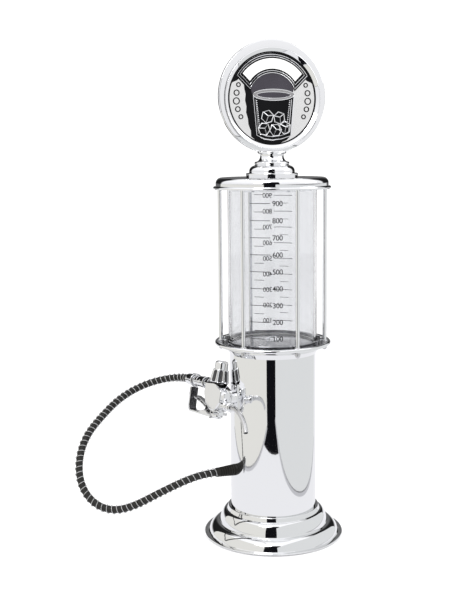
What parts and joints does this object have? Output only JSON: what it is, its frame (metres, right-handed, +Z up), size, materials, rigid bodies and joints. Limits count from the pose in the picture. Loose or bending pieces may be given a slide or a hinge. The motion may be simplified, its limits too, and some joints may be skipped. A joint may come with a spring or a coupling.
{
  "type": "gas pump drinks dispenser",
  "caption": "Chrome tabletop drinks dispenser shaped like an old visible-glass fuel pump, with a clear measuring vessel, lift-off lid, round sign, hose and trigger nozzle.",
  "frame": {"origin": "middle of the underside of the base", "axes": "+Z up, -Y front, the hose and nozzle on the -X side"},
  "size_m": [0.2684, 0.2036, 0.5133],
  "materials": {
    "chrome_shell": "polished",
    "chrome_parts": "polished",
    "nozzle_chrome": "polished",
    "satin_steel": "satin",
    "clear_tube": "polished",
    "milky_tube": "satin",
    "gasket_white": "matte",
    "black_rubber": "matte",
    "hose_rubber": "satin",
    "brass_parts": "satin",
    "iron_weight": "rough",
    "base_plastic": "satin",
    "sign_black": "gloss"
  },
  "bodies": {
    "pump": {"foot_pad": "black_rubber", "base_cover": "base_plastic", "base_screws": "satin_steel", "base_weight": "iron_weight", "base_shell": "chrome_shell", "column": "chrome_shell", "rim": "chrome_shell", "vessel_floor": "chrome_parts", "lower_gasket": "gasket_white", "vessel_tube": "clear_tube", "upper_gasket": "gasket_white", "top_ring": "chrome_parts", "rod_1": "chrome_parts", "rod_2": "chrome_parts", "rod_3": "chrome_parts", "rod_4": "chrome_parts", "rod_5": "chrome_parts", "rod_6": "chrome_parts", "rod_feet": "chrome_parts", "rod_nuts": "chrome_parts", "drain_fitting": "chrome_parts", "drain_gasket": "black_rubber", "drain_nut": "brass_parts", "inner_tube": "milky_tube", "hose_tail": "brass_parts", "hose_boot": "black_rubber", "hose": "hose_rubber", "holder_bracket": "chrome_parts", "holder_screws": "satin_steel"},
    "lid": {"lid_cap": "chrome_shell", "lid_seal": "black_rubber", "finial": "chrome_shell", "sign_stud": "satin_steel", "sign_nut": "satin_steel", "sign_back": "chrome_shell", "sign_bezel": "chrome_shell", "sign_face": "sign_black", "sign_emblem": "satin_steel", "sign_screws": "satin_steel"},
    "nozzle": {"nozzle_body": "nozzle_chrome", "nozzle_knob": "nozzle_chrome", "trigger_guard": "nozzle_chrome", "guard_screws": "satin_steel", "coupling_nut": "nozzle_chrome", "hose_barb": "brass_parts", "hose_ferrule": "nozzle_chrome", "spout_nut": "nozzle_chrome", "spout": "nozzle_chrome", "trigger_pin": "satin_steel", "stem_seal": "black_rubber", "valve_spring": "satin_steel"},
    "trigger": {"trigger": "nozzle_chrome"},
    "valve": {"valve_stem": "satin_steel", "valve_seal": "black_rubber"}
  },
  "joints": [
    {"name": "lid_lift", "type": "slide", "parent": "pump", "child": "lid", "axis": [0, 0, 1], "range_m": [0, 0.06]},
    {"name": "nozzle_off", "type": "slide", "parent": "pump", "child": "nozzle", "axis": [-1, 0, 0], "range_m": [0, 0.03]},
    {"name": "trigger_pull", "type": "hinge", "parent": "nozzle", "child": "trigger", "pos_m": [-0.06387, -0.00526, 0.13758], "axis": [0.9744, 0, -0.225], "range_deg": [0, 6], "stiffness_Nm_per_rad": 0.12, "springref_deg": -17.19},
    {"name": "valve_slide", "type": "slide", "parent": "nozzle", "child": "valve", "axis": [0.2237, 0.1045, 0.969], "range_m": [0, 0.0014], "deforming": ["valve_spring"]}
  ],
  "couplings": [
    {"joint": "valve_slide", "follows": "trigger_pull", "m_per_rad": 0.0125}
  ]
}
